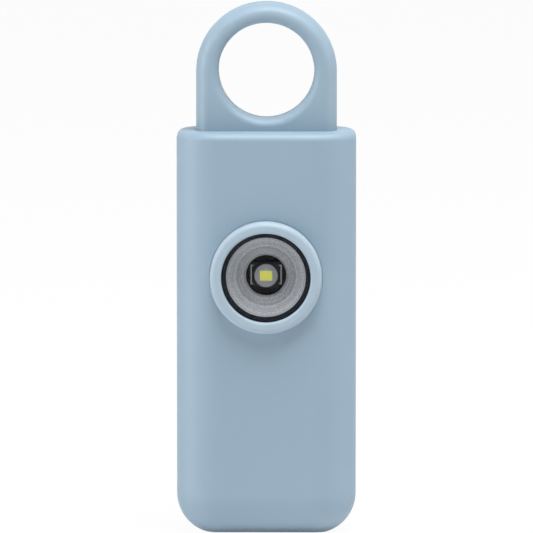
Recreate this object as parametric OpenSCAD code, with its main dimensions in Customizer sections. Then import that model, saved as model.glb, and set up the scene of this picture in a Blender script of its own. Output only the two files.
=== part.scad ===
// Personal safety alarm: a pocket siren with a pull ring on top and a push-button light in front.
// Millimetres. The front faces -Y, +Z is up and the origin is the middle of the flat base.

/* [Body] */
// Width of the body from side to side
body_w = 33; // [32.8:0.2:37]
// Depth of the body from front to back
body_d = 20; // [19.6:0.2:23]
// Height of the body without the pull ring
body_h = 74.2; // [73.6:0.2:84]
// Rounding of the upright edges and of the base
edge_r = 7.6; // [6.8:0.1:7.8]
// How far the rounding of the base is cut flat to stand on
base_cut = 0.45; // [0.2:0.05:0.8]
// Rounding of the top rim
rim_r = 1.4; // [0.3:0.1:2.2]
// Wall of the front shell and of the back cover
wall = 1.6; // [1.4:0.1:1.8]
// Width of the seam between the front shell and the back cover
seam = 0.12; // [0.06:0.02:0.2]
// Height of the lip on the front shell that the back cover slides over
lip_h = 1.2; // [0.8:0.1:1.6]
// Clearance between the lip and the back cover
lip_gap = 0.1; // [0.05:0.01:0.15]
// Width of the tongues of the back cover
tongue_w = 3; // [2:0.1:4]
// Thickness of the tongues of the back cover
tongue_t = 1.2; // [1:0.1:1.5]

/* [Pull ring] */
// Width of the pull ring
ring_w = 25.9; // [24.6:0.1:26.6]
// Thickness of the pull ring from front to back
ring_t = 8; // [7:0.2:8.8]
// Finger hole in the pull ring
ring_hole_d = 17.6; // [16:0.2:18]
// Height of the finger hole's centre above the top of the body
ring_rise = 11; // [10.6:0.1:13]
// Wall of the pull ring over the finger hole
ring_top_wall = 3.9; // [3.4:0.1:4.2]
// Radius of the pull ring's crowned rim
ring_crown = 6.4; // [5.4:0.1:8]
// Rounding of the pull ring's shoulders
ring_round = 1.7; // [1.4:0.1:2]
// Rounding of the finger hole's edges
hole_round = 1.5; // [0.8:0.1:1.8]
// Depth of the pull ring's foot in the body
foot_depth = 3.3; // [2.8:0.1:3.8]
// Clearance around the foot of the pull ring
foot_gap = 0.08; // [0.05:0.01:0.3]
// Wall around the pocket of the foot
pocket_wall = 1.4; // [1:0.1:1.5]
// Floor under the pocket of the foot
pocket_floor = 1.6; // [1.2:0.1:2]
// Diameter of the trigger pin
pin_d = 3.5; // [3:0.1:3.8]
// Length of the trigger pin below the foot
pin_len = 12; // [11.4:0.2:12.6]
// Length of the trigger pin held in the pull ring
pin_hold = 4.2; // [3:0.1:4.6]
// Clearance around the trigger pin
pin_gap = 0.25; // [0.2:0.05:0.35]

/* [Light button] */
// Height of the button's axis
button_z = 47.95; // [47:0.05:50]
// Outer diameter of the button ring
button_d = 20.6; // [20:0.1:21.4]
// How far the button ring stands out of the body
button_rise = 2.6; // [2.2:0.1:3.4]
// Diameter of the opening in the button ring
opening_d = 16.4; // [15.6:0.2:17]
// Rounding of the button ring's outer edge
crown_r = 1.05; // [0.6:0.05:1.1]
// Rounding of the button ring's inner edge
mouth_r = 0.45; // [0.3:0.05:0.6]
// Thickness of the button ring's lip over the lens
lip_t = 1.1; // [0.9:0.05:1.3]
// Wall of the button ring around the lens
button_wall = 1.45; // [1.2:0.05:1.6]
// Width of the flange that keeps the button in the body
flange_w = 1.3; // [1:0.05:1.4]
// Thickness of that flange
flange_t = 1; // [0.8:0.05:1.2]
// Travel of the button
button_travel = 0.5; // [0.3:0.05:0.5]
// Clearance around the button ring
button_gap = 0.08; // [0.05:0.01:0.25]

/* [Light] */
// Thickness of the lens
lens_t = 0.8; // [0.6:0.05:1]
// Clearance around the lens
lens_gap = 0.05; // [0.03:0.01:0.1]
// Opening of the black gasket and wide end of the reflector
reflector_d = 14.6; // [13.6:0.1:15]
// Hole in the reflector
reflector_hole_d = 7.4; // [7.3:0.1:8]
// Thickness of the gasket
gasket_t = 0.4; // [0.3:0.05:0.5]
// Thickness of the reflector's rim
reflector_rim = 0.6; // [0.5:0.05:0.8]
// Width of the ring that holds the reflector
retainer_w = 0.9; // [0.6:0.05:0.95]
// Thickness of the ring that holds the reflector
retainer_t = 1; // [0.8:0.05:1.2]
// Diameter of the light's own board
light_board_d = 12; // [11:0.2:13]
// Thickness of the light's own board
light_board_t = 0.5; // [0.4:0.05:0.8]
// Side of the light's square base
light_base_w = 4.7; // [4.5:0.05:4.8]
// Thickness of the light's base
light_base_t = 1.9; // [1.6:0.05:2]
// Diameter of the clear dome
dome_d = 4.4; // [3.8:0.1:4.5]
// Height of the clear dome
dome_h = 1.5; // [1:0.1:1.8]
// Width of the yellow die
die_w = 2.3; // [1.8:0.1:2.4]
// Height of the yellow die
die_h = 1.8; // [1.4:0.1:2]
// Thickness of the yellow die
die_t = 0.15; // [0.1:0.01:0.2]
// Height of the light's contact tabs
tab_h = 3.6; // [3:0.1:4]
// Width of the strip that the contact tabs are bent from
tab_strip = 0.25; // [0.2:0.05:0.35]
// How far the contact tabs reach past the light's base
tab_reach = 0.52; // [0.4:0.02:0.6]

/* [Main board] */
// Width of the main board
board_w = 26; // [25.4:0.2:26.4]
// Thickness of the main board
board_t = 1; // [0.8:0.1:1.2]
// Height of a push switch's body
switch_h = 1.6; // [1.4:0.05:1.8]
// Height of a push switch's plunger above its body
plunger_rise = 0.6; // [0.55:0.05:0.8]
// Diameter of a push switch's plunger
plunger_d = 1.6; // [1.2:0.1:2]
// Height of the pin socket
socket_h = 12; // [11.6:0.1:13]
// Width of the pin socket
socket_w = 9; // [8.4:0.2:9.6]
// Diameter of the coil
coil_d = 8; // [6:0.5:8.5]
// Height of the coil
coil_h = 7; // [5:0.5:7.5]
// Diameter of the capacitor
capacitor_d = 5; // [4:0.5:5]
// Height of the capacitor
capacitor_h = 6.8; // [5:0.2:7.2]
// Side of the driver chip along its leg rows
chip_l = 5; // [4.6:0.1:5.4]
// Width of the driver chip between its leg rows
chip_w = 4; // [3.6:0.1:4.4]

/* [Siren] */
// Diameter of the siren's brass plate
sounder_d = 25; // [24:0.2:25.4]
// Thickness of the siren's brass plate
sounder_t = 0.3; // [0.2:0.05:0.4]
// Diameter of the siren's ceramic layer
ceramic_d = 16; // [14:0.5:18]
// Height of the sound chamber behind the siren
chamber_h = 2.4; // [2:0.1:2.8]
// Diameter of a sound hole
sound_hole_d = 1.6; // [1.2:0.1:2]
// Distance between the rows of sound holes
sound_pitch = 3.2; // [2.8:0.1:3.6]
// Wall of the ring that carries the siren
chamber_wall = 1.3; // [1.1:0.1:1.5]
// Width of the bead that holds the siren
bead_w = 0.9; // [0.6:0.1:1.2]
// Diameter of the siren's leads
lead_d = 0.8; // [0.6:0.1:1]

/* [Power] */
// Diameter of a coin cell
cell_d = 20; // [19.6:0.1:20.2]
// Thickness of a coin cell
cell_t = 3.2; // [2.5:0.1:3.2]
// Clearance around the coin cells
cell_gap = 0.25; // [0.2:0.05:0.3]
// Wall of the battery holder
holder_wall = 1; // [0.9:0.05:1.2]
// Width of the battery door
door_w = 23.4; // [22.4:0.1:24.4]
// Clearance around the battery door
door_gap = 0.15; // [0.1:0.05:0.25]
// Width of the step that the battery door lies on
door_step = 1; // [0.8:0.1:1.2]
// Width of the hook at the lower edge of the battery door
hook_w = 10; // [8:0.5:12]
// Width of the contacts of the coin cells
contact_w = 3; // [2:0.1:4]

/* [Screws] */
// Diameter of the screws' shanks
screw_d = 2; // [1.8:0.1:2.2]
// Diameter of the screws' heads
head_d = 3.6; // [3.2:0.1:3.8]
// Radius of the screw posts in the front shell
post_r = 2.2; // [2:0.1:2.4]
// Height of the heads of the case and board screws
head_h = 1.2; // [1:0.1:1.4]
// Height of the head of the battery door's screw
door_head_h = 0.8; // [0.6:0.05:0.9]
// Length of the case screws below the head
case_screw_l = 8; // [6:0.5:10]
// Length of the board screws below the head
board_screw_l = 3.4; // [2.6:0.1:3.6]
// Length of the battery door's screw below the head
door_screw_l = 6; // [5:0.5:8]

/* [Hidden] */
$fn = 96;
over = 1;
sheet_t = 0.25;
stack_gap = 0.04;
bond_gap = 0.02;
pilot_gap = 0.02;
shank_gap = 0.1;
head_gap = 0.2;
root = 0.2;
slot_w = 0.5;
board_r = 2;
door_r = 2.5;

// Clearances between neighbours
reflector_gap = 0.4;
flange_gap = 0.3;
plunger_gap = 0.15;
cell_play = 0.1;
post_gap = 0.2;
board_gap = 0.3;
door_seat = 0.03;
tongue_gap = 0.25;
leaf_gap = 0.2;
leaf_play = 0.3;

// Planes from front to back, along Y
front_y = -body_d / 2;
back_y = body_d / 2;
front_in = front_y + wall;
back_in = back_y - wall;
mid_x = body_w / 2 - edge_r;
mid_y = body_d / 2 - edge_r;
split_y = mid_y;
crown_y = front_y - button_rise;
lens_y = crown_y + lip_t;
gasket_y = lens_y + lens_t + bond_gap;
reflector_y = gasket_y + gasket_t;
retainer_y = reflector_y + reflector_rim;
flange_back = front_in + flange_t;
switch_y = flange_back + plunger_rise;
board_y = switch_y + switch_h;
board_back = board_y + board_t;
light_board_y = board_y - light_board_t;
light_base_y = light_board_y - light_base_t;
reflector_end = light_board_y - button_travel - reflector_gap;
sounder_seat = back_in - chamber_h;
sounder_front = sounder_seat - sounder_t;
ceramic_front = sounder_front - sheet_t;
cell_back = back_in - cell_play;
cell_front = cell_back - 2 * cell_t - stack_gap;
contact_rise = 0.7;
holder_floor = cell_front - contact_rise;
holder_floor_t = 0.8;
holder_step = 1.3;
holder_back = cell_back - holder_step;
head_sink = 0.1;
door_head_y = back_y - door_head_h - head_sink;
socket_back = 3.4;
door_cut = 2;
case_land = 2;
case_seat = sounder_seat + case_land;
tip_gap = 0.4;
tongue_out = 2.4;
tongue_root = 3;
hook_t = 1.05;
hook_gap = 0.05;
hook_out = 0.8;
hook_root = 0.4;
bead_t = 0.5;

// Levels from the base up, along Z
cell_lift = 2.2;
door_margin = 1.6;
door_top = 2.9;
door_land = 0.6;
chamber_out = 0.3;
socket_base = 0.8;
screw_drop = 0.7;
board_drop = 0.6;
board_screw_in = 2.6;
base_mid = edge_r - base_cut;
board_low = edge_r;
cell_z = board_low + cell_d / 2 + cell_lift;
door_screw_z = cell_z + cell_d / 2 + cell_gap + post_gap + post_r;
door_low = cell_z - cell_d / 2 - door_margin;
door_high = door_screw_z + door_top;
sounder_z = door_high + door_land + sounder_d / 2 + chamber_out;
foot_z = body_h - foot_depth;
pocket_under = foot_z - pocket_floor;
socket_low = pocket_under - socket_h;
socket_floor = socket_low + socket_base;
case_screw_z = pocket_under - post_r - screw_drop;
board_high = case_screw_z - post_r - board_drop;
board_screw_low = board_low + board_screw_in;
board_screw_high = board_high - board_screw_in;
ring_z = body_h + ring_rise;
arch_z = ring_z + ring_hole_d / 2 + ring_top_wall - ring_w / 2;
pin_tip = foot_z - pin_len;
coil_drop = 5;
coil_z = sounder_z - coil_drop;
chip_z = sounder_z + coil_drop;

// Radii and places across the width
ring_land = 0.1;
crown_land = 0.05;
crest = min(ring_w / 2 - ring_hole_d / 2, ring_top_wall);
ring_shoulder = ring_t / 2 - ring_round;
ring_side = ring_w / 2 - ring_crown + sqrt(pow(ring_crown - ring_round, 2) - pow(ring_shoulder, 2));
hole_flare = min(hole_round, crest - ring_w / 2 + ring_side - ring_land);
crown = min(crown_r, (button_d - opening_d) / 2 - mouth_r - crown_land, lip_t - crown_land);
seat_r = button_d / 2 - button_wall;
lens_r = seat_r - lens_gap;
flange_r = button_d / 2 + flange_w;
switch_x = (seat_r + flange_r) / 2;
switch_w = 3.4;
switch_l = 4.4;
plunger_in = 0.5;
tab_w = 0.5;
tab_t = 0.15;
cone_t = 0.5;
dome_ball = (dome_d * dome_d / 4 + dome_h * dome_h) / (2 * dome_h);
case_screw_in = 3.5;
case_screw_x = body_w / 2 - wall - post_r - case_screw_in;
boss_wall = 0.6;
screw_edge = 2.2;
board_screw_x = board_w / 2 - screw_edge;
tongue_in = 2.4;
tongue_x = mid_x - tongue_in;
coil_x = 6.5;
coil_flange_t = 1;
coil_core_r = 1.8;
coil_rim = 0.4;
capacitor_x = 7.4;
groove_z = 1;
groove_w = 0.6;
groove_in = 0.2;
chip_x = 7;
chip_t = 1.4;
chip_lift = 0.1;
leg_pitch = 1.27;
leg_l = 1.2;
leg_w = 0.4;
leg_t = 0.5;
leg_in = 0.2;

// Leads of the siren
lead_x = 2;
lead_drop = 4;
lead_z = sounder_z - lead_drop;
lead_out = 1.2;
lead_side = 0.4;
lead_mid = 1.5;
edge_in = 2.9;
edge_x = sounder_d / 2 - edge_in;
edge_z = sounder_z + lead_drop;

// Holder and contacts of the coin cells
holder_open = 12;
holder_cut = 1.4;
contact_slot = 0.5;
strip_w = 5;
strip_t = 0.2;
strip_gap = 0.05;
leg_x = 4;
leg_up = 7.15;
tail_w = 2;
dimple_r = 1.4;
can_step = 1.1;
can_rise = 0.4;

// Switch of the pull ring
leaf_w = 2;
leaf_x = 3.4;
leaf_mid = 2.85;
leaf_heel = 2.5;
leaf_toe = 2.3;
leaf_root_r = 0.42;
leaf_seat_r = 0.5;
leaf_down = 1.9;
leaf_rise = 2.5;
leaf_bend = 1.5;
leaf_foot = 0.35;
leaf_z = pocket_under - leaf_down;
leaf_bump_z = pin_tip + leaf_rise;
leaf_tail_z = socket_floor + leaf_foot;
shunt_face = 1.62;
shunt_play = 0.05;
shunt_h = 0.65;
shunt_tail = 1;
pin_point = 1.2;
pin_taper = 0.9;
pin_groove = 0.3;
groove_half = 0.2;

// Colours
body_blue = [0.60, 0.69, 0.75];
ring_blue = [0.68, 0.76, 0.82];
black_plastic = [0.08, 0.08, 0.09];
board_green = [0.10, 0.30, 0.18];
steel = [0.72, 0.73, 0.75];
brass = [0.80, 0.66, 0.34];

// Shared forms

// Extrudes an outline drawn in X and Z from one plane to another along Y
module panel(y0, y1) {
    translate([0, y1, 0]) rotate([90, 0, 0]) linear_extrude(y1 - y0) children();
}

// Turns a profile drawn in radius and Y about an axis along Y at height z
module turned(z) {
    translate([0, 0, z]) rotate([-90, 0, 0]) rotate_extrude() children();
}

// A pin along Y at a place in X and Z
module pin_y(x, z, y0, y1, r) {
    translate([x, y0, z]) rotate([-90, 0, 0]) cylinder(r = r, h = y1 - y0);
}

// A band of a turned profile
module band(r0, r1, y0, y1) {
    translate([r0, y0]) square([r1 - r0, y1 - y0]);
}

// A rectangle with round corners, centred
module rounded_plate(w, h, r) {
    square([w - 2 * r, h], center = true);
    square([w, h - 2 * r], center = true);
    for (sx = [-1, 1], sy = [-1, 1]) translate([sx * (w / 2 - r), sy * (h / 2 - r)]) circle(r);
}

// Upright section of the body's edge set in by a distance, from the middle of its rounding outwards:
// round at the base, which is cut flat, and at the top where t is over 0
module edge_section(inset, t) {
    r = edge_r - inset;
    top = body_h - inset;
    intersection() {
        union() {
            translate([0, base_mid]) square([r, top - t - base_mid]);
            translate([0, base_mid]) circle(r);
            if (t > 0) {
                translate([0, top - t]) square([r - t, t]);
                translate([r - t, top - t]) circle(t);
            }
        }
        translate([0, inset]) square([r, top - inset]);
    }
}

// The body's form set in by a distance, with a top rounding
module body_form(inset, t) {
    translate([-mid_x, -mid_y, inset]) cube([2 * mid_x, 2 * mid_y, body_h - 2 * inset]);
    for (k = [0 : 3]) {
        sx = (k == 0 || k == 3) ? 1 : -1;
        sy = k < 2 ? 1 : -1;
        rotate([0, 0, 90 * k]) translate([k % 2 == 0 ? mid_x : mid_y, 0, 0]) rotate([90, 0, 0])
            linear_extrude(2 * (k % 2 == 0 ? mid_y : mid_x), center = true) edge_section(inset, t);
        translate([sx * mid_x, sy * mid_y, 0]) rotate([0, 0, 90 * k])
            rotate_extrude(angle = 90) edge_section(inset, t);
    }
}

// All that lies in front of a plane along Y
module ahead_of(y) {
    translate([-body_w, y - 4 * body_d, -body_h]) cube([2 * body_w, 4 * body_d, 4 * body_h]);
}

// All that lies behind a plane along Y
module behind(y) {
    translate([-body_w, y, -body_h]) cube([2 * body_w, 4 * body_d, 4 * body_h]);
}

// Half of the pull ring's section, with a crowned rim between round shoulders, grown by a distance
module ring_half(grow) {
    core = ring_w / 2 - ring_crown;
    translate([0, -ring_t / 2 - grow]) square([ring_side, ring_t + 2 * grow]);
    for (s = [-1, 1]) translate([ring_side, s * ring_shoulder]) circle(ring_round + grow);
    intersection() {
        translate([core, 0]) circle(ring_crown + grow);
        polygon([[core, 0], [2 * ring_side - core, -2 * ring_shoulder],
            [2 * ring_side - core, 2 * ring_shoulder]]);
    }
}

// Plan of the pull ring's foot, grown by a distance
module foot_plan(grow) {
    ring_half(grow);
    mirror([1, 0]) ring_half(grow);
}

// The room inside the body, which leaves the block around the foot's pocket standing
module hollow() {
    difference() {
        body_form(wall, 0);
        translate([0, 0, pocket_under]) linear_extrude(body_h) foot_plan(foot_gap + pocket_wall);
    }
}

// The pocket for the foot, and the hole for the trigger pin under it
module foot_pocket() {
    translate([0, 0, foot_z]) linear_extrude(body_h) foot_plan(foot_gap);
    translate([0, 0, pocket_under - over]) cylinder(r = pin_d / 2 + pin_gap, h = foot_depth);
}

// The walls of the body with the outside set in by a distance
module walls(inset, t) {
    difference() {
        body_form(inset, t);
        hollow();
        foot_pocket();
    }
}

// A screw along Y with its head towards the back, and a cross slot in the head
module screw_y(x, z, seat, head_h, length) {
    difference() {
        union() {
            pin_y(x, z, seat, seat + head_h, head_d / 2);
            pin_y(x, z, seat - length, seat + head_h / 2, screw_d / 2);
        }
        for (a = [0, 90]) translate([x, seat + head_h, z]) rotate([0, a, 0])
            cube([head_d * 0.6, head_h, slot_w], center = true);
    }
}

// Body

module front_shell() color(body_blue) {
    difference() {
        union() {
            intersection() {
                walls(0, rim_r);
                ahead_of(split_y - seam / 2);
            }
            intersection() {
                walls(wall / 2 + lip_gap, 0);
                ahead_of(split_y + lip_h);
            }
            for (s = [-1, 1]) {
                pin_y(s * case_screw_x, case_screw_z, front_in - root, sounder_seat, post_r);
                pin_y(s * board_screw_x, board_screw_low, front_in - root, board_y, post_r);
                pin_y(s * board_screw_x, board_screw_high, front_in - root, board_y, post_r);
            }
            pin_y(0, door_screw_z, front_in - root, back_in, post_r);
        }
        // Button opening, with a flat seat for the flange
        pin_y(0, button_z, front_y - over, front_in + over, button_d / 2 + button_gap);
        pin_y(0, button_z, front_in, front_in + edge_r, flange_r + flange_gap);
        // Pilot holes of the screws, as deep as their tips and a little more
        for (s = [-1, 1]) {
            pin_y(s * case_screw_x, case_screw_z, case_seat - case_screw_l - tip_gap, sounder_seat + over,
                screw_d / 2 + pilot_gap);
            for (z = [board_screw_low, board_screw_high])
                pin_y(s * board_screw_x, z, board_back - board_screw_l - tip_gap, board_y + over,
                    screw_d / 2 + pilot_gap);
        }
        pin_y(0, door_screw_z, door_head_y - door_screw_l - tip_gap, back_in + over, screw_d / 2 + pilot_gap);
    }
}

// Outline of the battery door, grown by a distance
module door_outline(grow) {
    translate([0, (door_low + door_high) / 2])
        rounded_plate(door_w + 2 * grow, door_high - door_low + 2 * grow, door_r + grow);
}

module back_cover() color(body_blue) {
    difference() {
        union() {
            intersection() {
                walls(0, rim_r);
                behind(split_y + seam / 2);
            }
            // Ring that carries the siren
            turned(sounder_z) band(sounder_d / 2 + chamber_out - chamber_wall, sounder_d / 2 + chamber_out,
                sounder_seat, back_in + root);
            // Bosses that meet the screw posts
            for (s = [-1, 1])
                pin_y(s * case_screw_x, case_screw_z, sounder_seat, back_in + root, post_r + boss_wall);
        }
        // Room for the front shell's lip
        intersection() {
            body_form(wall / 2, 0);
            ahead_of(split_y + lip_h);
            behind(split_y);
        }
        // Sound holes in rows of 1, 6 and 12
        for (row = [0 : 2], k = [0 : max(0, 6 * row - 1)])
            pin_y(row * sound_pitch * cos(60 * k / max(row, 1)), sounder_z + row * sound_pitch
                * sin(60 * k / max(row, 1)), back_in - over, back_y + over, sound_hole_d / 2);
        // Opening of the battery door, with a step in the wall for the door to lie on
        difference() {
            panel(split_y, back_y + over) door_outline(door_gap);
            body_form(wall / 2, 0);
        }
        panel(split_y + lip_h + door_cut, back_y + over) door_outline(door_gap - door_step);
        // Screw holes with room for the heads
        for (s = [-1, 1]) {
            pin_y(s * case_screw_x, case_screw_z, sounder_seat - over, back_y, screw_d / 2 + shank_gap);
            pin_y(s * case_screw_x, case_screw_z, case_seat, back_y + over, head_d / 2 + head_gap);
        }
    }
    // Tongues that reach over the front shell's lip
    for (s = [-1, 1]) translate([s * tongue_x - tongue_w / 2, split_y - tongue_out, wall + tongue_gap])
        cube([tongue_w, tongue_out + tongue_root, tongue_t]);
}

module case_screws() color(steel) {
    for (s = [-1, 1]) screw_y(s * case_screw_x, case_screw_z, case_seat, head_h, case_screw_l);
}

module battery_door() color(body_blue) {
    difference() {
        union() {
            intersection() {
                difference() {
                    body_form(0, rim_r);
                    body_form(wall / 2 - door_seat, 0);
                }
                panel(split_y, back_y + over) door_outline(0);
            }
            intersection() {
                difference() {
                    body_form(wall / 4, 0);
                    body_form(wall, 0);
                }
                panel(split_y, back_y + over) door_outline(-door_step);
            }
            // Tongue that hooks behind the lower edge of the opening
            translate([-hook_w / 2, back_in - hook_t - hook_gap, door_low - hook_out])
                cube([hook_w, hook_t, hook_out + door_step + hook_root]);
            translate([-hook_w / 2, back_in - hook_t - hook_gap, door_low + door_step + root])
                cube([hook_w, hook_t + hook_gap + wall / 4, hook_root - root]);
        }
        pin_y(0, door_screw_z, back_in - over, back_y + over, screw_d / 2 + shank_gap);
        pin_y(0, door_screw_z, door_head_y, back_y + over, head_d / 2 + head_gap);
    }
}

module door_screw() color(steel) {
    screw_y(0, door_screw_z, door_head_y, door_head_h, door_screw_l);
}

// Pull ring

module pull_ring() color(ring_blue) {
    difference() {
        union() {
            translate([0, 0, arch_z]) rotate([90, 0, 0]) rotate_extrude(angle = 180) ring_half(0);
            translate([0, 0, foot_z]) linear_extrude(arch_z - foot_z) foot_plan(0);
        }
        // Finger hole with round edges
        translate([0, 0, ring_z]) rotate([90, 0, 0]) rotate_extrude() {
            translate([0, -ring_t]) square([ring_hole_d / 2, 2 * ring_t]);
            for (s = [-1, 1]) difference() {
                translate([0, s > 0 ? ring_t / 2 - hole_flare : -ring_t])
                    square([ring_hole_d / 2 + hole_flare, ring_t / 2 + hole_flare]);
                translate([ring_hole_d / 2 + hole_flare, s * (ring_t / 2 - hole_flare)]) circle(hole_flare);
            }
        }
        translate([0, 0, foot_z - over]) cylinder(r = pin_d / 2, h = pin_hold + over);
    }
}

// Pin with a catch groove and a pointed tip
module trigger_pin() color(steel) {
    r = pin_d / 2;
    edge = groove_half + pin_groove;
    rotate_extrude() polygon([[0, pin_tip], [r - pin_taper, pin_tip], [r, pin_tip + pin_point],
        [r, leaf_bump_z - edge], [r - pin_groove, leaf_bump_z - groove_half],
        [r - pin_groove, leaf_bump_z + groove_half], [r, leaf_bump_z + edge], [r, foot_z + pin_hold],
        [0, foot_z + pin_hold]]);
}

// Light button

module button_ring() color(ring_blue) {
    turned(button_z) {
        band(opening_d / 2 + mouth_r, button_d / 2 - crown, crown_y, lens_y);
        band(opening_d / 2, opening_d / 2 + mouth_r, crown_y + mouth_r, lens_y);
        band(button_d / 2 - crown, button_d / 2, crown_y + crown, lens_y);
        for (edge = [[opening_d / 2 + mouth_r, mouth_r], [button_d / 2 - crown, crown]]) intersection() {
            translate([edge[0], crown_y + edge[1]]) circle(edge[1]);
            band(0, button_d, crown_y, crown_y + edge[1]);
        }
        band(seat_r, button_d / 2, lens_y, flange_back);
        band(seat_r, flange_r, front_in, flange_back);
    }
}

module lens() color([0.85, 0.90, 0.95, 0.4]) {
    pin_y(0, button_z, lens_y, lens_y + lens_t, lens_r);
}

module lens_gasket() color(black_plastic) {
    turned(button_z) band(reflector_d / 2, lens_r, gasket_y, reflector_y);
}

module reflector() color(steel) {
    wide = reflector_d / 2;
    hole = reflector_hole_d / 2;
    turned(button_z) polygon([[wide, reflector_y], [lens_r, reflector_y], [lens_r, retainer_y],
        [wide + cone_t, retainer_y], [hole + cone_t, reflector_end], [hole, reflector_end]]);
}

module reflector_retainer() color(black_plastic) {
    turned(button_z) band(lens_r - retainer_w, lens_r, retainer_y, retainer_y + retainer_t);
}

module switch_plungers() color(black_plastic) {
    for (s = [-1, 1]) pin_y(s * switch_x, button_z, flange_back, switch_y + plunger_in, plunger_d / 2);
}

module switch_bodies() color(steel) {
    for (s = [-1, 1]) difference() {
        translate([s * switch_x - switch_w / 2, switch_y, button_z - switch_l / 2])
            cube([switch_w, switch_h, switch_l]);
        pin_y(s * switch_x, button_z, switch_y - over, switch_y + plunger_in + button_travel + shank_gap,
            plunger_d / 2 + plunger_gap);
    }
}

// Boards and light

module main_board() color(board_green) {
    difference() {
        panel(board_y, board_back) translate([0, (board_low + board_high) / 2])
            rounded_plate(board_w, board_high - board_low, board_r);
        pin_y(0, door_screw_z, board_y - over, board_back + over, post_r + board_gap);
        for (s = [-1, 1], z = [board_screw_low, board_screw_high])
            pin_y(s * board_screw_x, z, board_y - over, board_back + over, screw_d / 2 + shank_gap);
    }
}

module board_screws() color(steel) {
    for (s = [-1, 1], z = [board_screw_low, board_screw_high])
        screw_y(s * board_screw_x, z, board_back, head_h, board_screw_l);
}

module light_board() color(black_plastic) {
    pin_y(0, button_z, light_board_y, board_y, light_board_d / 2);
}

module light_base() color([0.25, 0.26, 0.28]) {
    translate([-light_base_w / 2, light_base_y, button_z - light_base_w / 2])
        cube([light_base_w, light_base_t, light_base_w]);
}

// Contact tabs at both sides of the light's base, each a strip bent to a bracket
module light_tabs() color(steel) {
    out = light_base_w / 2 + tab_reach;
    for (s = [-1, 1]) panel(light_board_y - tab_t, light_board_y) translate([0, button_z]) difference() {
        translate([s * (out - tab_w / 2) - tab_w / 2, -tab_h / 2]) square([tab_w, tab_h]);
        translate([s * (out - tab_strip - tab_w / 2) - tab_w / 2, tab_strip - tab_h / 2])
            square([tab_w, tab_h - 2 * tab_strip]);
    }
}

// Room of the yellow die, grown by a distance
module die_block(grow) {
    translate([-die_w / 2 - grow, light_base_y - die_t - grow, button_z - die_h / 2 - grow])
        cube([die_w + 2 * grow, die_t + 2 * grow, die_h + 2 * grow]);
}

module light_die() color([0.80, 0.78, 0.25]) {
    die_block(0);
}

module light_dome() color([0.80, 0.84, 0.88, 0.5]) {
    difference() {
        turned(button_z) intersection() {
            translate([0, light_base_y - dome_h + dome_ball]) circle(dome_ball);
            translate([0, light_base_y - dome_h]) square([dome_d, dome_h - bond_gap]);
        }
        die_block(bond_gap);
    }
}

// Switch of the pull ring

module pin_socket() color(black_plastic) {
    slot = leaf_w + 2 * leaf_play;
    difference() {
        translate([-socket_w / 2, board_back, socket_low])
            cube([socket_w, socket_back - board_back, socket_h]);
        translate([0, 0, socket_floor]) cylinder(r = pin_d / 2 + pin_gap, h = socket_h);
        // Slot for the leaf, with a round seat at its root
        translate([0, -slot / 2, socket_floor]) cube([socket_w, slot, leaf_z - leaf_gap - socket_floor]);
        translate([leaf_x, -slot / 2, leaf_z]) rotate([-90, 0, 0]) cylinder(r = leaf_seat_r, h = slot);
        // Slot for the fixed contact
        translate([-socket_w, -leaf_w / 2 - shunt_play, socket_floor])
            cube([socket_w, leaf_w + 2 * shunt_play, sheet_t + shunt_play]);
    }
}

// Leaf that lies clear of the pin and swings in to the fixed contact when the pin has gone
module contact_leaf() color(brass) {
    near = pin_d / 2 + leaf_gap;
    path = [[leaf_x, leaf_z], [leaf_mid, (leaf_z + leaf_bump_z) / 2], [near, leaf_bump_z],
        [leaf_heel, leaf_bump_z - leaf_bend], [leaf_toe, leaf_tail_z]];
    translate([leaf_x, -leaf_w / 2, leaf_z]) rotate([-90, 0, 0]) cylinder(r = leaf_root_r, h = leaf_w);
    panel(-leaf_w / 2, leaf_w / 2)
        polygon(concat(path, [for (k = [len(path) - 1 : -1 : 0]) path[k] + [sheet_t, 0]]));
}

module shunt_contact() color(brass) {
    side = socket_w / 2 + sheet_t;
    translate([-side, -leaf_w / 2, socket_floor]) cube([side + shunt_face, leaf_w, sheet_t]);
    translate([shunt_face - sheet_t, -leaf_w / 2, socket_floor]) cube([sheet_t, leaf_w, shunt_h]);
    translate([-side, board_back, socket_floor]) cube([sheet_t, shunt_tail - board_back, sheet_t]);
}

// Siren

module sounder_plate() color(brass) {
    pin_y(0, sounder_z, sounder_front, sounder_seat, sounder_d / 2);
}

module sounder_ceramic() color([0.90, 0.90, 0.86]) {
    pin_y(0, sounder_z, ceramic_front, sounder_front, ceramic_d / 2);
}

module sounder_bead() color([0.85, 0.86, 0.88]) {
    turned(sounder_z) band(sounder_d / 2 - bead_w, sounder_d / 2, sounder_front - bead_t, sounder_front);
}

// A round lead along a route that leaves and arrives along Y
module lead(route) {
    sides = 8;
    r = lead_d / 2;
    last = len(route) - 1;
    points = [for (i = [0 : last]) let (
        along = route[min(i + 1, last)] - route[max(i - 1, 0)],
        side = cross(along, [0, 0, 1]) / norm(cross(along, [0, 0, 1])),
        rise = cross(side, along) / norm(cross(side, along)))
        for (k = [0 : sides - 1]) route[i] + r * (cos(360 * k / sides) * side + sin(360 * k / sides) * rise)];
    walls_of = [for (i = [0 : last - 1], k = [0 : sides - 1]) let (
        a = i * sides + k, b = i * sides + (k + 1) % sides)
        each [[a, b, b + sides], [a, b + sides, a + sides]]];
    ends = [[for (k = [sides - 1 : -1 : 0]) k], [for (k = [0 : sides - 1]) last * sides + k]];
    polyhedron(points, concat(walls_of, ends));
}

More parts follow.
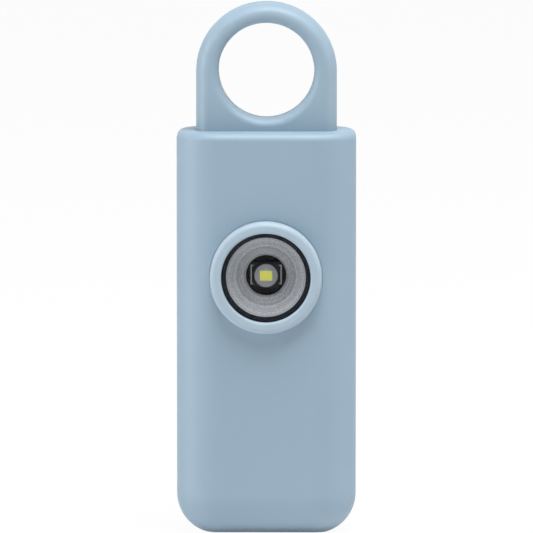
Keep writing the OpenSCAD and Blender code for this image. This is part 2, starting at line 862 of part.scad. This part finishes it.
module sounder_leads() color([0.70, 0.12, 0.10]) {
    lead([[lead_x, ceramic_front, lead_z], [lead_x, ceramic_front - lead_out, lead_z],
        [lead_x + lead_side, lead_mid, lead_z + lead_side],
        [lead_x + lead_side, -lead_mid, lead_z + 2 * lead_side],
        [lead_x + lead_side, board_back, lead_z + 2 * lead_side]]);
    lead([[-edge_x, sounder_front, edge_z], [-edge_x, sounder_front - lead_out, edge_z],
        [lead_side - edge_x, lead_mid, edge_z + 2 * lead_side],
        [lead_side - edge_x, -lead_mid, edge_z + 3 * lead_side],
        [lead_side - edge_x, board_back, edge_z + 3 * lead_side]]);
}

// Parts on the main board

module coil_core() color([0.22, 0.22, 0.23]) {
    top = board_back + coil_h;
    translate([-coil_x, 0, 0]) turned(coil_z) {
        band(0, coil_d / 2, board_back, board_back + coil_flange_t);
        band(0, coil_core_r, board_back, top);
        band(0, coil_d / 2, top - coil_flange_t, top);
    }
}

module coil_sleeve() color(black_plastic) {
    translate([-coil_x, 0, 0]) turned(coil_z)
        band(coil_core_r, coil_d / 2 - coil_rim, board_back + coil_flange_t,
            board_back + coil_h - coil_flange_t);
}

module capacitor() color([0.20, 0.22, 0.30]) {
    r = capacitor_d / 2;
    translate([capacitor_x, 0, 0]) turned(coil_z) {
        band(0, r, board_back, board_back + groove_z);
        band(0, r - groove_in, board_back + groove_z, board_back + groove_z + groove_w);
        band(0, r, board_back + groove_z + groove_w, board_back + capacitor_h);
    }
}

module driver_chip() color(black_plastic) {
    reach = chip_w / 2 - leg_in + leg_l / 2;
    translate([chip_x - chip_w / 2, board_back + chip_lift, chip_z - chip_l / 2])
        cube([chip_w, chip_t, chip_l]);
    for (s = [-1, 1], k = [-1.5 : 1 : 1.5])
        translate([chip_x + s * reach - leg_l / 2, board_back, chip_z + leg_pitch * k - leg_w / 2])
            cube([leg_l, leg_t, leg_w]);
}

// Power

module battery_holder() color(black_plastic) {
    r = cell_d / 2 + cell_gap;
    difference() {
        turned(cell_z) {
            band(r, r + holder_wall, board_back, holder_back);
            band(0, r + pilot_gap, holder_floor - holder_floor_t, holder_floor);
        }
        // Open side towards the door's screw post
        translate([-holder_open / 2, board_back - over, cell_z + r - holder_cut])
            cube([holder_open, body_d, cell_d]);
        // Slots for the two contacts
        translate([r - contact_slot, board_back - over, cell_z - strip_w / 2 - post_gap])
            cube([contact_slot + root, body_d, strip_w + 2 * post_gap]);
        translate([leg_x - root, board_back - over, cell_z + leg_up - sheet_t])
            cube([tail_w + 2 * root, holder_floor - board_back + 2 * over, 3 * sheet_t]);
    }
}

module coin_cells() color(steel) {
    for (k = [0, 1]) turned(cell_z) {
        y0 = cell_front + k * (cell_t + stack_gap);
        band(0, cell_d / 2 - can_step, y0, y0 + can_rise);
        band(0, cell_d / 2, y0 + can_rise, y0 + cell_t);
    }
}

module negative_contact() color(steel) {
    translate([-contact_w / 2, holder_floor, cell_z - contact_w])
        cube([contact_w, sheet_t, contact_w + leg_up + sheet_t]);
    translate([-contact_w / 2, holder_floor, cell_z + leg_up])
        cube([contact_w / 2 + leg_x + tail_w, sheet_t, sheet_t]);
    translate([leg_x, board_back, cell_z + leg_up])
        cube([tail_w, holder_floor - board_back + sheet_t, sheet_t]);
    pin_y(0, cell_z, holder_floor, cell_front, dimple_r);
}

module positive_contact() color(steel) {
    translate([cell_d / 2 + strip_gap, board_back, cell_z - strip_w / 2])
        cube([strip_t, holder_back - board_back, strip_w]);
}

front_shell();
back_cover();
case_screws();
battery_door();
door_screw();
pull_ring();
trigger_pin();
button_ring();
lens();
lens_gasket();
reflector();
reflector_retainer();
switch_plungers();
switch_bodies();
main_board();
board_screws();
light_board();
light_base();
light_tabs();
light_die();
light_dome();
pin_socket();
contact_leaf();
shunt_contact();
sounder_plate();
sounder_ceramic();
sounder_bead();
sounder_leads();
coil_core();
coil_sleeve();
capacitor();
driver_chip();
battery_holder();
coin_cells();
negative_contact();
positive_contact();
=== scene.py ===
"""Looks of a personal safety alarm: matte plastic body, pull ring and a push-button light."""

import math

import bpy
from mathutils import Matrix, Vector


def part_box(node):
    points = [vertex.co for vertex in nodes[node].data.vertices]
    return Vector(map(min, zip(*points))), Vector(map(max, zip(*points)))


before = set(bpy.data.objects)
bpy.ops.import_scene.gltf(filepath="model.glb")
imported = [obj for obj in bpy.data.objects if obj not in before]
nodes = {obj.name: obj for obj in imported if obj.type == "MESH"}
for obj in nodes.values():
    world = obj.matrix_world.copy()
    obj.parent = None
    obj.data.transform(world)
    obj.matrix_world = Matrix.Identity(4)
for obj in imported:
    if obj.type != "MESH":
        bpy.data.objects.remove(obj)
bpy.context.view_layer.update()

MM = 0.001
lens_low, lens_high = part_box("lens")
BUTTON_Z = (lens_low.z + lens_high.z) / 2
DOME_R = (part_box("light_dome")[1].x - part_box("light_dome")[0].x) / 2


# Shader building

class Value:
    """An output of a shader node that can stand in a Python expression."""

    def __init__(self, graph, output):
        self.graph = graph
        self.output = output

    def math(self, operation, *terms):
        return self.graph.add("ShaderNodeMath", {"operation": operation}, dict(enumerate(terms)))

    def other(self, name):
        """Another output of the same node."""
        return Value(self.graph, self.output.node.outputs[name])

    def __add__(self, term):
        return self.math("ADD", self, term)

    def __radd__(self, term):
        return self.math("ADD", term, self)

    def __sub__(self, term):
        return self.math("SUBTRACT", self, term)

    def __rsub__(self, term):
        return self.math("SUBTRACT", term, self)

    def __mul__(self, term):
        return self.math("MULTIPLY", self, term)

    def __rmul__(self, term):
        return self.math("MULTIPLY", term, self)

    def __pow__(self, term):
        return self.math("POWER", self, term)


class Graph:
    """A node tree under construction."""

    def __init__(self, tree):
        self.tree = tree

    def add(self, kind, settings=None, inputs=None, output=0):
        """Adds a node: its settings first, then its sockets' values or links. Gives one of its outputs."""
        node = self.tree.nodes.new(kind)
        for name, value in (settings or {}).items():
            setattr(node, name, value)
        for name, value in (inputs or {}).items():
            self.connect(node.inputs[name], value)
        return Value(self, node.outputs[output])

    def connect(self, socket, value):
        if isinstance(value, Value):
            self.tree.links.new(value.output, socket)
        elif socket.type == "RGBA":
            socket.default_value = (*value, 1.0)
        else:
            socket.default_value = value

    def seen_directly(self):
        """1 for rays from the camera, from a glossy surface or through glass, and 0 for the rest."""
        camera = self.add("ShaderNodeLightPath", output="Is Camera Ray")
        mirrored = camera.math("MAXIMUM", camera, camera.other("Is Glossy Ray"))
        return camera.math("MAXIMUM", mirrored, camera.other("Is Transmission Ray"))


class Finish(Graph):
    """A material under construction, with its Principled shader."""

    # A Mix node's colour sockets go by number, because its other sockets have the same names
    MIX_FIRST = 6
    MIX_SECOND = 7
    MIX_RESULT = 2

    def __init__(self, name, **constants):
        self.material = bpy.data.materials.new(name)
        self.material.use_nodes = True
        super().__init__(self.material.node_tree)
        self.shader = self.tree.nodes["Principled BSDF"]
        self.place = self.add("ShaderNodeTexCoord", output="Object")
        for socket, value in constants.items():
            self.feed(socket.replace("_", " "), value)

    def feed(self, socket, value):
        self.connect(self.shader.inputs[socket], value)

    def noise(self, size, detail=2.0, vector=None):
        """Smooth noise from 0 to 1 with features of about the given size in metres."""
        sockets = {"Vector": vector or self.place, "Scale": 1.0 / size, "Detail": detail}
        return self.add("ShaderNodeTexNoise", {}, sockets)

    def wander(self, middle, reach, size):
        """A number that strays from a middle value by up to its reach, in patches of the given size."""
        return middle - reach + 2 * reach * self.noise(size)

    def radius_from(self, x0, z0):
        """Distance from an axis along Y."""
        x = self.add("ShaderNodeSeparateXYZ", {}, {"Vector": self.place}, output="X")
        across = x - x0
        up = x.other("Z") - z0
        return (across * across + up * up) ** 0.5

    def shade(self, factor, dark, light):
        """Colour between two colours."""
        sockets = {"Factor": factor, self.MIX_FIRST: dark, self.MIX_SECOND: light}
        return self.add("ShaderNodeMix", {"data_type": "RGBA"}, sockets, self.MIX_RESULT)

    def mottle(self, factor, colour, darkest, lightest):
        """One colour that goes from a darker to a lighter tint."""
        return self.shade(factor, tint(colour, darkest), tint(colour, lightest))

    def band(self, value, low, high):
        """0 below low and 1 above high, smooth between."""
        sockets = {"Value": value, "From Min": low, "From Max": high}
        return self.add("ShaderNodeMapRange", {"interpolation_type": "SMOOTHSTEP"}, sockets)

    def bump(self, height, strength, distance):
        sockets = {"Height": height, "Strength": strength, "Distance": distance}
        self.feed("Normal", self.add("ShaderNodeBump", {}, sockets))


def linear(red, green, blue):
    """Screen colour from 0 to 255 as the linear colour that a shader takes."""
    parts = [c / 255 for c in (red, green, blue)]
    return tuple(c / 12.92 if c <= 0.04045 else ((c + 0.055) / 1.055) ** 2.4 for c in parts)


def tint(colour, factor):
    return tuple(min(1.0, c * factor) for c in colour)


def dress(finish, *names):
    """Gives CAD nodes a material."""
    for name in names:
        data = nodes[name].data
        data.materials.clear()
        data.materials.append(finish.material)


# Plastics of the outside

MOULD_ROUGHNESS = 0.54
MOULD_GRAIN = 0.22 * MM
MOULD_SPECK = 0.35 * MM
MOULD_CLOUD = 14 * MM
GLOSS_PATCH = 2.5 * MM


def moulded_plastic(name, colour):
    """Matte moulded plastic: a fine spark-eroded grain, faint clouding and uneven gloss."""
    finish = Finish(name, Specular_IOR_Level=0.7)
    cloud = finish.noise(MOULD_CLOUD, 3.0)
    speck = finish.noise(MOULD_SPECK, 1.0)
    finish.feed("Base Color", finish.mottle(0.7 * cloud + 0.3 * speck, colour, 0.96, 1.04))
    finish.feed("Roughness", finish.wander(MOULD_ROUGHNESS, 0.05, GLOSS_PATCH))
    finish.bump(finish.noise(MOULD_GRAIN), 0.1, 0.02 * MM)
    return finish


dress(moulded_plastic("body_plastic", linear(138, 161, 178)), "front_shell", "back_cover", "battery_door")
dress(moulded_plastic("ring_plastic", linear(141, 164, 180)), "pull_ring")
dress(moulded_plastic("button_plastic", linear(157, 176, 190)), "button_ring")


# Light in the button

TURNED_DARK = linear(134, 136, 138)
TURNED_LIGHT = linear(219, 222, 227)
TOOL_MARK = 0.5 * MM
TOOL_LINE = 0.12 * MM
METAL_FLECK = 0.2 * MM
# Floor under the dome: silver plating, lightened further as a painted reflection of the dome
SILVER_AND_REFLECTION_DARK = linear(128, 133, 141)
SILVER_AND_REFLECTION_LIGHT = linear(152, 156, 164)
CERAMIC_DARK = linear(26, 27, 32)
PHOSPHOR_DEEP = linear(232, 228, 5)
PHOSPHOR_PALE = linear(244, 240, 20)


def clear_window(name, face_on, film, rough, dark, light):
    """Clear plastic: see-through face on, mirror-like at a slant from either side, with faint smears."""
    finish = Finish(name, Metallic=1.0)
    smear = finish.noise(3 * MM, 3.0)
    finish.feed("Base Color", finish.shade(smear, dark, light))
    finish.feed("Roughness", rough + 0.06 * smear)
    slant = finish.add("ShaderNodeLayerWeight", {}, {"Blend": 0.5}, "Facing")
    finish.feed("Alpha", face_on + film * finish.noise(1.2 * MM) + (1.0 - face_on) * slant ** 5.0)
    return finish


def turned_metal():
    """Lathe-turned metal with rings of tool marks about the button's axis."""
    finish = Finish("turned_metal", Metallic=0.55)
    streak = finish.add("ShaderNodeCombineXYZ", {}, {"X": finish.radius_from(0.0, BUTTON_Z)})
    coarse = finish.noise(TOOL_MARK, 3.0, streak)
    fine = finish.noise(TOOL_LINE, 2.0, streak)
    marks = finish.band(0.6 * coarse + 0.4 * fine, 0.34, 0.66)
    fleck = finish.band(finish.noise(METAL_FLECK, 1.0), 0.36, 0.64)
    finish.feed("Base Color", finish.shade(0.6 * marks + 0.4 * fleck, TURNED_DARK, TURNED_LIGHT))
    finish.feed("Roughness", 0.88 + 0.12 * fine)
    finish.bump(marks, 0.5, 0.03 * MM)
    return finish


def satin_black(name, colour, grain, rough):
    """Black rubber or plastic with a fine grain."""
    finish = Finish(name, Specular_IOR_Level=0.12)
    cloud = finish.noise(grain)
    finish.feed("Base Color", finish.mottle(cloud, colour, 0.8, 1.2))
    finish.feed("Roughness", finish.wander(rough, 0.06, 6 * grain))
    finish.bump(cloud, 0.15, 0.02 * MM)
    return finish


def light_ceramic():
    """Dark base of the light with a silvered floor under the dome, whose grey is partly silver plating and
    partly a painted reflection of the dome.
    """
    finish = Finish("light_ceramic", Specular_IOR_Level=0.15)
    floor = 1.0 - finish.band(finish.radius_from(0.0, BUTTON_Z), 0.94 * DOME_R, DOME_R)
    cloud = finish.noise(0.3 * MM)
    # Silver plating under the dome, lightened as a painted reflection of the dome
    silver_and_reflection = finish.shade(cloud, SILVER_AND_REFLECTION_DARK, SILVER_AND_REFLECTION_LIGHT)
    finish.feed("Base Color", finish.shade(floor, CERAMIC_DARK, silver_and_reflection))
    finish.feed("Roughness", 0.5 - 0.15 * floor)
    finish.bump(cloud, 0.1, 0.01 * MM)
    return finish


def phosphor():
    """Yellow phosphor over the die, with a fine mottle."""
    finish = Finish("phosphor", Roughness=0.55)
    cloud = finish.noise(0.25 * MM, 3.0)
    finish.feed("Base Color", finish.shade(cloud, PHOSPHOR_DEEP, PHOSPHOR_PALE))
    finish.bump(cloud, 0.2, 0.01 * MM)
    return finish


dress(clear_window("lens_clear", face_on=0.002, film=0.0, rough=0.04,
                   dark=(0.92, 0.94, 0.96), light=(0.98, 0.99, 1.0)), "lens")
dress(clear_window("dome_clear", face_on=0.02, film=0.09, rough=0.3,
                   dark=(0.85, 0.87, 0.9), light=(0.95, 0.96, 0.98)), "light_dome")
dress(turned_metal(), "reflector")
dress(satin_black("gasket_black", linear(32, 38, 46), 0.2 * MM, 0.45), "lens_gasket")
dress(satin_black("board_black", linear(20, 21, 26), 0.25 * MM, 0.4), "light_board")
dress(light_ceramic(), "light_base")
dress(phosphor(), "light_die")


# Metal and plastic of the inside

def rolled_metal(name, colour, rough):
    """Plated or rolled sheet metal with fine lengthwise streaks and uneven gloss."""
    finish = Finish(name, Metallic=1.0)
    stretch = {0: finish.place, 1: (1.0, 1.0, 0.12)}
    streak = finish.add("ShaderNodeVectorMath", {"operation": "MULTIPLY"}, stretch)
    lines = finish.noise(0.3 * MM, 2.0, streak)
    finish.feed("Base Color", finish.mottle(lines, colour, 0.88, 1.05))
    finish.feed("Roughness", finish.wander(rough, 0.06, 1.5 * MM))
    finish.bump(lines, 0.15, 0.01 * MM)
    return finish


def plain_solid(name, colour, grain, rough):
    """Plain moulded, printed or ceramic stuff with a fine mottle."""
    finish = Finish(name)
    cloud = finish.noise(grain, 3.0)
    finish.feed("Base Color", finish.mottle(cloud, colour, 0.88, 1.1))
    finish.feed("Roughness", rough - 0.05 + 0.1 * cloud)
    finish.bump(cloud, 0.15, 0.02 * MM)
    return finish


dress(rolled_metal("nickel_steel", linear(202, 203, 206), 0.28), "case_screws", "door_screw", "trigger_pin",
      "switch_bodies", "board_screws", "negative_contact", "positive_contact", "coin_cells")
dress(rolled_metal("tab_silver", linear(138, 139, 142), 0.4), "light_tabs")
dress(rolled_metal("spring_brass", linear(214, 182, 112), 0.3), "contact_leaf", "shunt_contact",
      "sounder_plate")
dress(satin_black("inner_black", linear(34, 35, 38), 0.4 * MM, 0.5), "reflector_retainer",
      "switch_plungers", "pin_socket", "driver_chip", "battery_holder", "coil_sleeve")
dress(plain_solid("board_green", linear(34, 96, 62), 0.6 * MM, 0.4), "main_board")
dress(plain_solid("sounder_white", linear(226, 224, 214), 0.5 * MM, 0.5), "sounder_ceramic")
dress(plain_solid("bead_silicone", linear(206, 208, 212), 0.8 * MM, 0.35), "sounder_bead")
dress(plain_solid("lead_red", linear(176, 38, 30), 0.5 * MM, 0.4), "sounder_leads")
dress(plain_solid("coil_ferrite", linear(66, 66, 70), 0.3 * MM, 0.6), "coil_core")
dress(plain_solid("capacitor_blue", linear(48, 54, 84), 0.5 * MM, 0.3), "capacitor")


# Floor, light and camera

WHITE = (1.0, 1.0, 1.0)
FLOOR_SIZE = 6.0
FLOOR_DARK = (0.93, 0.93, 0.93)
FLOOR_LIGHT = (0.96, 0.96, 0.96)
FLOOR_WHITE_SHARE = 0.96
AMBIENT = 0.04
TARGET = Vector((0.0, 0.0, 48.8 * MM))
CAMERA_DISTANCE = 1.2
CAMERA_ELEVATION = math.radians(6.24)
CAMERA_AZIMUTH = math.radians(0.6)
CAMERA_LENS = 439.3
CAMERA_SENSOR = 36.0
CAMERA_NEAR = 0.01
CAMERA_FAR = 50.0


def lay_floor():
    """Pale floor that looks white and keeps a trace of the object's shadow."""
    bpy.ops.object.select_all(action="DESELECT")
    bpy.ops.mesh.primitive_plane_add(size=FLOOR_SIZE)
    floor = bpy.context.object
    floor.name = "floor"
    finish = Finish("pale_floor", Roughness=0.9)
    finish.feed("Base Color", finish.shade(finish.noise(0.4), FLOOR_DARK, FLOOR_LIGHT))
    glow = finish.add("ShaderNodeEmission", {}, {"Color": WHITE, "Strength": 1.0})
    lit = Value(finish, finish.shader.outputs["BSDF"])
    white_share = FLOOR_WHITE_SHARE * finish.seen_directly()
    shown = finish.add("ShaderNodeMixShader", {}, {0: white_share, 1: lit, 2: glow})
    finish.connect(finish.tree.nodes["Material Output"].inputs["Surface"], shown)
    floor.data.materials.append(finish.material)


def light_world():
    """Surroundings that look white and light the object by the ambient level."""
    world = bpy.data.worlds.new("studio")
    world.use_nodes = True
    bpy.context.scene.world = world
    graph = Graph(world.node_tree)
    levels = {"Value": graph.seen_directly(), "To Min": AMBIENT, "To Max": 1.0}
    background = world.node_tree.nodes["Background"]
    graph.connect(background.inputs["Color"], WHITE)
    graph.connect(background.inputs["Strength"], graph.add("ShaderNodeMapRange", {}, levels))


def softbox(name, place, size, level):
    """Square soft light aimed at the object; level is the share of a white surface's brightness it gives."""
    lamp = bpy.data.lights.new(name, "AREA")
    lamp.size = size
    place = Vector(place)
    lamp.energy = level * (math.pi * (place - TARGET).length) ** 2
    holder = bpy.data.objects.new(name, lamp)
    bpy.context.scene.collection.objects.link(holder)
    holder.location = place
    holder.rotation_euler = (TARGET - place).to_track_quat("-Z", "Y").to_euler()


def set_camera():
    """Camera in front of the object, at the photograph's height and side angle."""
    camera = bpy.data.objects.new("camera", bpy.data.cameras.new("camera"))
    bpy.context.scene.collection.objects.link(camera)
    camera.data.lens = CAMERA_LENS
    camera.data.sensor_width = CAMERA_SENSOR
    camera.data.clip_start = CAMERA_NEAR
    camera.data.clip_end = CAMERA_FAR
    level = math.cos(CAMERA_ELEVATION)
    side = level * math.sin(CAMERA_AZIMUTH)
    front = -level * math.cos(CAMERA_AZIMUTH)
    back = Vector((side, front, math.sin(CAMERA_ELEVATION)))
    camera.location = TARGET + CAMERA_DISTANCE * back
    camera.rotation_euler = (-back).to_track_quat("-Z", "Y").to_euler()
    bpy.context.scene.camera = camera


lay_floor()
light_world()
softbox("top_light", place=(0.36, -0.10, 1.0), size=0.6, level=0.64)
softbox("front_light", place=(0.05, -0.40, 1.0), size=0.6, level=0.88)
softbox("left_light", place=(-0.95, -0.16, 0.2), size=0.5, level=0.54)
softbox("right_light", place=(0.95, -0.05, 0.2), size=0.5, level=0.12)
set_camera()
bpy.context.scene.view_settings.view_transform = "Standard"
